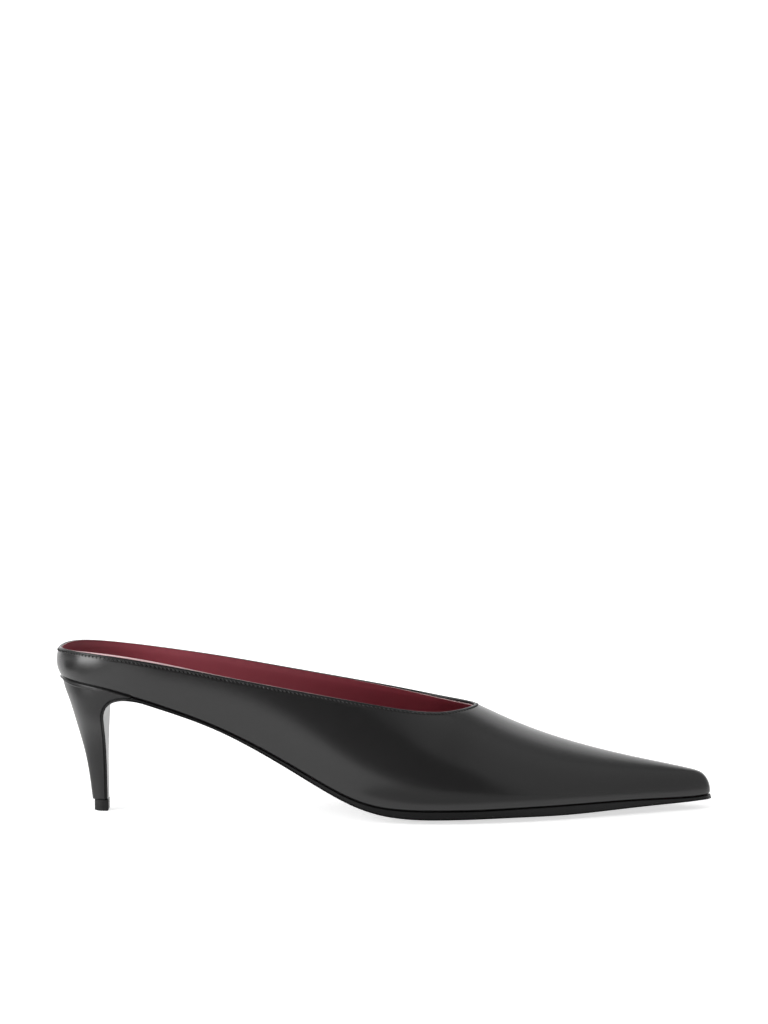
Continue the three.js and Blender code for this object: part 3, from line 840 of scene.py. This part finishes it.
def outsole():
    """Cuts across the sole, each a top, two rounded edges and a bottom that hangs lower in
    the middle along a parabola, and never below the floor. They run up the flap, over the
    bend and along the waist to the toe, and are turned by a smoothed way down."""
    along = 2 * (1 - steps(80)[:-1]) ** 1.3
    place, way = breast(along)
    levels = HEEL_LEVELS * steps(200)
    half = np.interp(along, HEEL["breast"](levels), HEEL["width"](levels))
    left = np.stack([place[:, 0], -half, place[:, 1]], -1)
    right = left * (1, -1, 1)
    waist = row_at(WAIST_END)
    leaving = np.clip(1 - along / LEAVING, 0, 1)[:, None]
    leaving = leaving**2 * (3 - 2 * leaving)
    left = left + leaving * (last_point(waist, -1.0, 0.0) - (0, 0, GAP) - breast_edge(-1))
    right = right + leaving * (last_point(waist, 1.0, 0.0) - (0, 0, GAP) - breast_edge(1))
    rows = waist + (TOE - waist) * (1 - (1 - steps(300)) ** 1.25)
    drop = (0, 0, GAP)
    left = np.concatenate([left, last_point(rows, -1.0, 0.0) - drop])
    right = np.concatenate([right, last_point(rows, 1.0, 0.0) - drop])
    flap = FLAP_THICKNESS + leaving[:, 0] * (SOLE["edge"](waist) - FLAP_THICKNESS)
    thick = np.concatenate([flap, SOLE["edge"](rows)])
    crown = np.concatenate([np.zeros(len(along)), SOLE["crown"](rows)])
    down = np.concatenate([way, np.tile((0.0, 0.0, -1.0), (len(rows), 1))])
    reach = 12  # cuts to each side that count
    smooth = np.exp(-0.5 * (np.arange(-reach, reach + 1) / BEND_EASE) ** 2)
    smooth /= smooth.sum()
    padded = np.concatenate([np.repeat(down[:1], reach, 0), down, np.repeat(down[-1:], reach, 0)])
    down = np.stack([np.convolve(padded[:, i], smooth, "valid") for i in range(3)], -1)
    down /= np.linalg.norm(down, axis=-1, keepdims=True)

    def edge(line, sign):
        """The edge's section, two quarter rounds: how far in each point lies and how deep."""
        out = np.cross(np.gradient(line, axis=0), down) * sign
        out /= np.maximum(np.linalg.norm(out, axis=-1, keepdims=True), 1e-9)
        turn = steps(6) * np.pi / 2
        foot = np.minimum(EDGE_FOOT, FOOT_SHARE * thick)[:, None]
        top = np.full_like(foot, EDGE_TOP)
        into = np.concatenate([top * (1 - np.sin(turn)), foot * (1 - np.cos(turn))], axis=1)
        deep = np.concatenate([top * (1 - np.cos(turn)),
                               thick[:, None] - foot * (1 - np.sin(turn))], axis=1)
        return (line[:, None] - out[:, None] * into[..., None]
                + down[:, None] * deep[..., None])

    left_edge, right_edge = edge(left, 1), edge(right, -1)
    across = steps(24)[1:-1]
    lift = np.sin(np.pi * across) ** 0.25 * (GAP - FIT)

    def between(a, b, hang):
        """Points across from a to b, each hung lower by hang."""
        line = a[:, None] + (b - a)[:, None] * across[None, :, None]
        return line + down[:, None] * hang[..., None]

    top = between(left_edge[:, 0], right_edge[:, 0], -np.tile(lift, (len(crown), 1)))
    # In front of the heel's lip the sole fills the wedge up to the insole.
    wedge = last_point(np.linspace(0, waist, 60), -1.0, 0.0)
    under = np.interp(top[..., 0], wedge[:, 0], wedge[:, 2]) - FIT
    filled = (top[..., 0] > LIP_X) & (top[..., 0] < WAIST_END)
    top[..., 2] = np.where(filled, np.maximum(top[..., 2], under), top[..., 2])
    bottom = between(right_edge[:, -1], left_edge[:, -1],
                     4 * (across * (1 - across))[None] * crown[:, None])
    loop = np.concatenate([top, right_edge, bottom, left_edge[:, ::-1]], axis=1)
    loop[..., 2] = np.maximum(loop[..., 2], 0)
    count, around = loop.shape[:2]
    numbers = np.arange(count * around).reshape(count, around)
    here, ahead = numbers[:-1], numbers[1:]
    faces = np.stack([here, ahead, np.roll(ahead, -1, 1), np.roll(here, -1, 1)], -1)
    kinds = np.zeros(faces.shape[:2], int)
    bottom_start = top.shape[1] + right_edge.shape[1]
    kinds[:, bottom_start:bottom_start + bottom.shape[1] - 1] = 1
    faces, kinds = faces.reshape(-1, 4), kinds.reshape(-1)
    shift = top.shape[1] + right_edge.shape[1] // 2
    ring = np.roll(np.arange(around), -shift)
    near, far = ring[:around // 2], ring[::-1][:around // 2]
    for end, turned in ((numbers[0], False), (numbers[-1], True)):
        cap = np.stack([end[near[:-1]], end[far[:-1]], end[far[1:]], end[near[1:]]], -1)
        faces = np.concatenate([faces, cap[:, ::-1] if turned else cap])
        kinds = np.concatenate([kinds, np.zeros(len(cap), int)])
    return add_piece("outsole_leather", loop, faces, [SOLE_EDGE, SOLE_FACE], kinds)


outsole_piece = outsole()
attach(outsole_piece, "root")
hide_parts("outsole")


# ---- Heel tip ---------------------------------------------------------------------------
# A small block of hard black plastic, pinned under the heel and replaced when it is worn. It
# is D-shaped, with a straight front, and stands a little proud of the flap.
TIP_BACK = 15.6
TIP_FACE = 21.55  # x of its straight front
TIP_HALF_WIDTH = 4.2
TIP_CORNER = 0.7  # radius of its front corners
TIP_EDGES = (0.15, 0.35)  # radius of its upper and its lower edge
TIP_TOP = TIP_HEIGHT + 0.2
TIP_BLACK = (0.013, 0.013, 0.013)
TIP_BLACK_DEEP = (0.010, 0.010, 0.010)
TIP_PLASTIC = grained_leather("heel_tip_plastic", TIP_BLACK, TIP_BLACK_DEEP, 0.48, 0.25, 0.006, 0.15)


def heel_tip():
    """A D-shaped outline carried from top to bottom, drawn in along quarter rounds at both
    ends. Its back is a half circle and its front corners are rounded."""
    quarter_turn = np.pi / 2
    turn = quarter_turn * steps(8)
    upper, lower = TIP_EDGES
    into = np.concatenate([upper * (1 - np.sin(turn)), lower * (1 - np.cos(turn))])
    height = np.concatenate([TIP_TOP - upper * (1 - np.cos(turn)), lower * (1 - np.sin(turn))])

    def arc(x, y, radius, start, end, count):
        """Points round (x, y) from the start angle to the end angle."""
        angle = start + (end - start) * steps(count)
        return np.stack([x + radius * np.cos(angle), y + radius * np.sin(angle)], -1)

    rings = []
    for inset, z in zip(into, height):
        wide, front = TIP_HALF_WIDTH - inset, TIP_FACE - inset
        small = TIP_CORNER - inset
        middle = TIP_BACK + TIP_HALF_WIDTH
        outline = np.concatenate([
            arc(front - small, wide - small, small, 0, quarter_turn, 8),
            arc(middle, 0, wide, quarter_turn, 3 * quarter_turn, 40),
            arc(front - small, small - wide, small, -quarter_turn, 0, 8),
        ])
        rings.append(np.column_stack([outline, np.full(len(outline), z)]))
    rings = np.stack(rings)
    middle = np.array([(TIP_BACK + TIP_FACE) / 2, 0, 0])
    for end in (0, -1):
        closed = rings[end].copy()
        closed[:, :2] = middle[:2]
        shrunk = middle + (rings[end] - middle) * (0.5, 0.5, 1)
        extra = [shrunk[None], closed[None]]
        rings = np.concatenate(extra[::-1] + [rings] if end == 0 else [rings] + extra)
    count, around = rings.shape[:2]
    numbers = np.arange(count * around).reshape(count, around)
    here, below = numbers[:-1], numbers[1:]
    faces = np.stack([here, np.roll(here, -1, 1), np.roll(below, -1, 1), below], -1)
    return add_piece("heel_tip_cap", rings, faces, [TIP_PLASTIC])


tip_piece = heel_tip()
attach(tip_piece, "root")
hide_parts("heel_tip")


# ---- Studio -----------------------------------------------------------------------------
# A white light table that runs back to a lit white wall, a key box high up at the front left
# and a small low box nearer the shoe. Black leather is shaped by what it mirrors, so cards,
# papers and a grey fill show in mirrors only. Three plain walls close the other views.
scene = bpy.context.scene
scene.view_settings.view_transform = "Standard"


def plain(name, grey, glow=0.0):
    """A matt grey surface, which also glows as bright as glow says."""
    material = bpy.data.materials.new(name)
    material.use_nodes = True
    shader = material.node_tree.nodes["Principled BSDF"]
    shader.inputs["Base Color"].default_value = (grey, grey, grey, 1)
    shader.inputs["Roughness"].default_value = 0.9
    shader.inputs["Specular IOR Level"].default_value = 0.1
    shader.inputs["Emission Color"].default_value = (1, 1, 1, 1)
    shader.inputs["Emission Strength"].default_value = glow
    return material


def board(name, corners, material, shown):
    """A flat board with four corners. It is shown "everywhere", or only "in mirrors" or only
    "to the camera"."""
    mesh = bpy.data.meshes.new(name)
    mesh.from_pydata(corners, [], [(0, 1, 2, 3)])
    mesh.materials.append(material)
    made = bpy.data.objects.new(name, mesh)
    made.visible_camera = shown != "in mirrors"
    made.visible_glossy = shown != "to the camera"
    made.visible_diffuse = made.visible_shadow = shown == "everywhere"
    scene.collection.objects.link(made)
    return made


def upright(name, start, end, height, material, shown):
    """A board that stands on the table, from start to end, both (x, y)."""
    (x0, y0), (x1, y1) = start, end
    corners = [(x0, y0, 0), (x1, y1, 0), (x1, y1, height), (x0, y0, height)]
    return board(name, corners, material, shown)


def laid(name, outline, height, material, shown):
    """A board that lies level, this high over the table, with its corners as (x, y)."""
    return board(name, [(x, y, height) for x, y in outline], material, shown)


TABLE = 6.0  # half the side of the light table
TABLE_WHITE = plain("table_white", 0.82, 0.64)
table_outline = [(-TABLE, -TABLE), (TABLE, -TABLE), (TABLE, TABLE), (-TABLE, TABLE)]
laid("light_table", table_outline, 0.0, TABLE_WHITE, "everywhere")

# The lit wall is higher towards the toe, where the vamp's ridge mirrors its top.
WALL_WHITE = plain("wall_white", 0.8, 0.9)
lit_wall = [(-3.4, 2.4, 0), (3.4, 2.4, 0), (3.4, 2.4, 3.0), (-3.4, 2.4, 2.15)]
board("lit_wall", lit_wall, WALL_WHITE, "everywhere")
OTHER_WALLS = 3.0  # height of the walls that only the camera sees
upright("left_wall", (-4, -5), (-4, 5), OTHER_WALLS, WALL_WHITE, "to the camera")
upright("right_wall", (4, 5), (4, -5), OTHER_WALLS, WALL_WHITE, "to the camera")
upright("front_wall", (4, -5), (-4, -5), OTHER_WALLS, WALL_WHITE, "to the camera")

FILL_GREY = plain("fill_grey", 0.0, 0.68)
upright("right_fill", (0.9, -1.6), (0.9, 0.6), 1.9, FILL_GREY, "in mirrors")
# The card in front keeps the side of the vamp dark.
CARD_BLACK = plain("card_black", 0.13)
front_card = [(-0.12, -0.33, 0), (0.27, -0.33, 0), (0.27, -0.33, 0.4), (-0.22, -0.33, 0.4)]
board("front_card", front_card, CARD_BLACK, "in mirrors")

# Papers on the table, white in front of the sole and grey under the low box.
PAPER_HEIGHT = 0.0005
front_paper = [(-0.02, -0.5), (0.5, -0.5), (0.5, -0.048), (-0.02, -0.048)]
laid("front_paper", front_paper, PAPER_HEIGHT, plain("paper", 0.84), "in mirrors")
box_paper = [(-0.62, -0.62), (-0.25, -0.30), (-0.25, -0.04), (-0.80, -0.06)]
laid("box_paper", box_paper, PAPER_HEIGHT, plain("grey_paper", 0.3), "in mirrors")
# The dark card at the heel end is mirrored low on the counter.
heel_card = [(-0.90, -0.08), (-0.90, 0.32), (-0.30, 0.06), (-0.30, -0.03)]
laid("heel_end_card", heel_card, 0.002, plain("card_grey", 0.03), "in mirrors")


def soft_box(name, size, place, aim, radiance):
    """A rectangular lamp, turned to face aim, as bright all over as radiance says."""
    lamp = bpy.data.lights.new(name, "AREA")
    lamp.shape = "RECTANGLE"
    lamp.size, lamp.size_y = size
    lamp.energy = radiance * np.pi * size[0] * size[1]
    made = bpy.data.objects.new(name, lamp)
    made.location = place
    made.rotation_euler = (Vector(aim) - Vector(place)).to_track_quat("-Z", "Y").to_euler()
    made.visible_camera = False
    scene.collection.objects.link(made)
    return made


soft_box("key_box", (1.1, 0.7), (-1.2, -0.62, 0.75), (0.0, 0.0, 0.04), 5.2)
soft_box("low_box", (0.32, 0.2), (-0.57, -0.29, 0.102), (-0.13, -0.03, 0.102), 8.0)

AIR = 0.38  # light that comes evenly from all around
world = bpy.data.worlds.new("studio_air")
scene.world = world
world.use_nodes = True
air_shader = world.node_tree.nodes["Background"]
air_shader.inputs["Color"].default_value = (1.0, 1.0, 1.0, 1)
air_shader.inputs["Strength"].default_value = AIR

CAMERA_PITCH = np.radians(4.8)  # looking down
CAMERA_PLACE = (-0.0003, -1.3882, 0.2397)
LENS = 119.44
camera = bpy.data.cameras.new("camera")
camera.lens = LENS
camera_stand = bpy.data.objects.new("camera", camera)
camera_stand.location = CAMERA_PLACE
camera_stand.rotation_euler = (np.pi / 2 - CAMERA_PITCH, 0.0, 0.0)
scene.collection.objects.link(camera_stand)
scene.camera = camera_stand
